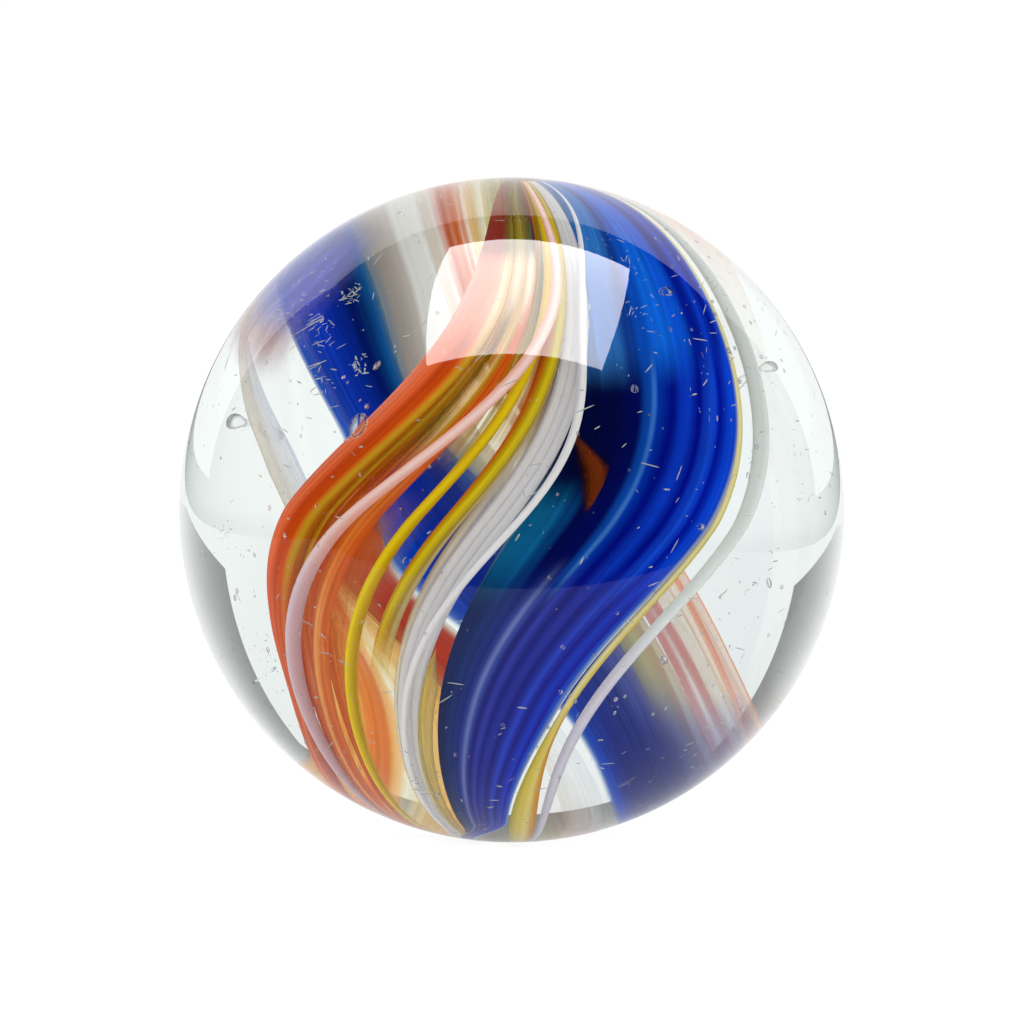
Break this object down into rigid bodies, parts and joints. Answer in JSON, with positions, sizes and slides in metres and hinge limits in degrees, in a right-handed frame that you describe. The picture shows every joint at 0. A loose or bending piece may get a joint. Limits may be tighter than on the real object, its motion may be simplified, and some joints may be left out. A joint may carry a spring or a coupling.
{
  "type": "glass marble",
  "caption": "Clear glass ball with a core of twisted coloured ribbons and threads drawn to a point at each pole.",
  "frame": {"origin": "centre of the ball", "axes": "+Z along the cane, from one cut-off mark to the other; -Y through the front gap between the white threads and the blue ribbon; +X to the right of it"},
  "size_m": [0.025, 0.025, 0.025],
  "materials": {
    "clear_glass": "clear, old, lightly scuffed",
    "orange_glass": "opaque coloured glass inside the clear glass",
    "amber_glass": "coloured glass inside the clear glass",
    "rose_glass": "opaque coloured glass inside the clear glass",
    "yellow_glass": "opaque coloured glass inside the clear glass",
    "olive_glass": "opaque coloured glass inside the clear glass",
    "white_glass": "opaque white glass inside the clear glass",
    "blue_glass": "deep blue glass inside the clear glass",
    "pale_glass": "pale yellow glass inside the clear glass",
    "red_glass": "opaque coloured glass inside the clear glass",
    "grey_glass": "grey-white glass inside the clear glass",
    "gold_glass": "translucent amber glass inside the clear glass"
  },
  "bodies": {
    "root": {"clear_body": "clear_glass", "orange_ribbon": "orange_glass", "amber_ribbon": "amber_glass", "rose_thread": "rose_glass", "yellow_thread": "yellow_glass", "olive_strand": "olive_glass", "fine_white_threads": "white_glass", "bright_thread": "white_glass", "blue_ribbon": "blue_glass", "pale_edge": "pale_glass", "lone_thread": "white_glass", "far_orange_ribbon": "amber_glass", "far_cream_thread": "pale_glass", "far_red_ribbon": "red_glass", "far_grey_ribbon": "grey_glass", "far_blue_ribbon": "blue_glass", "far_lone_thread": "white_glass", "far_ruby_thread": "red_glass", "far_gold_ribbon": "gold_glass"}
  },
  "joints": []
}
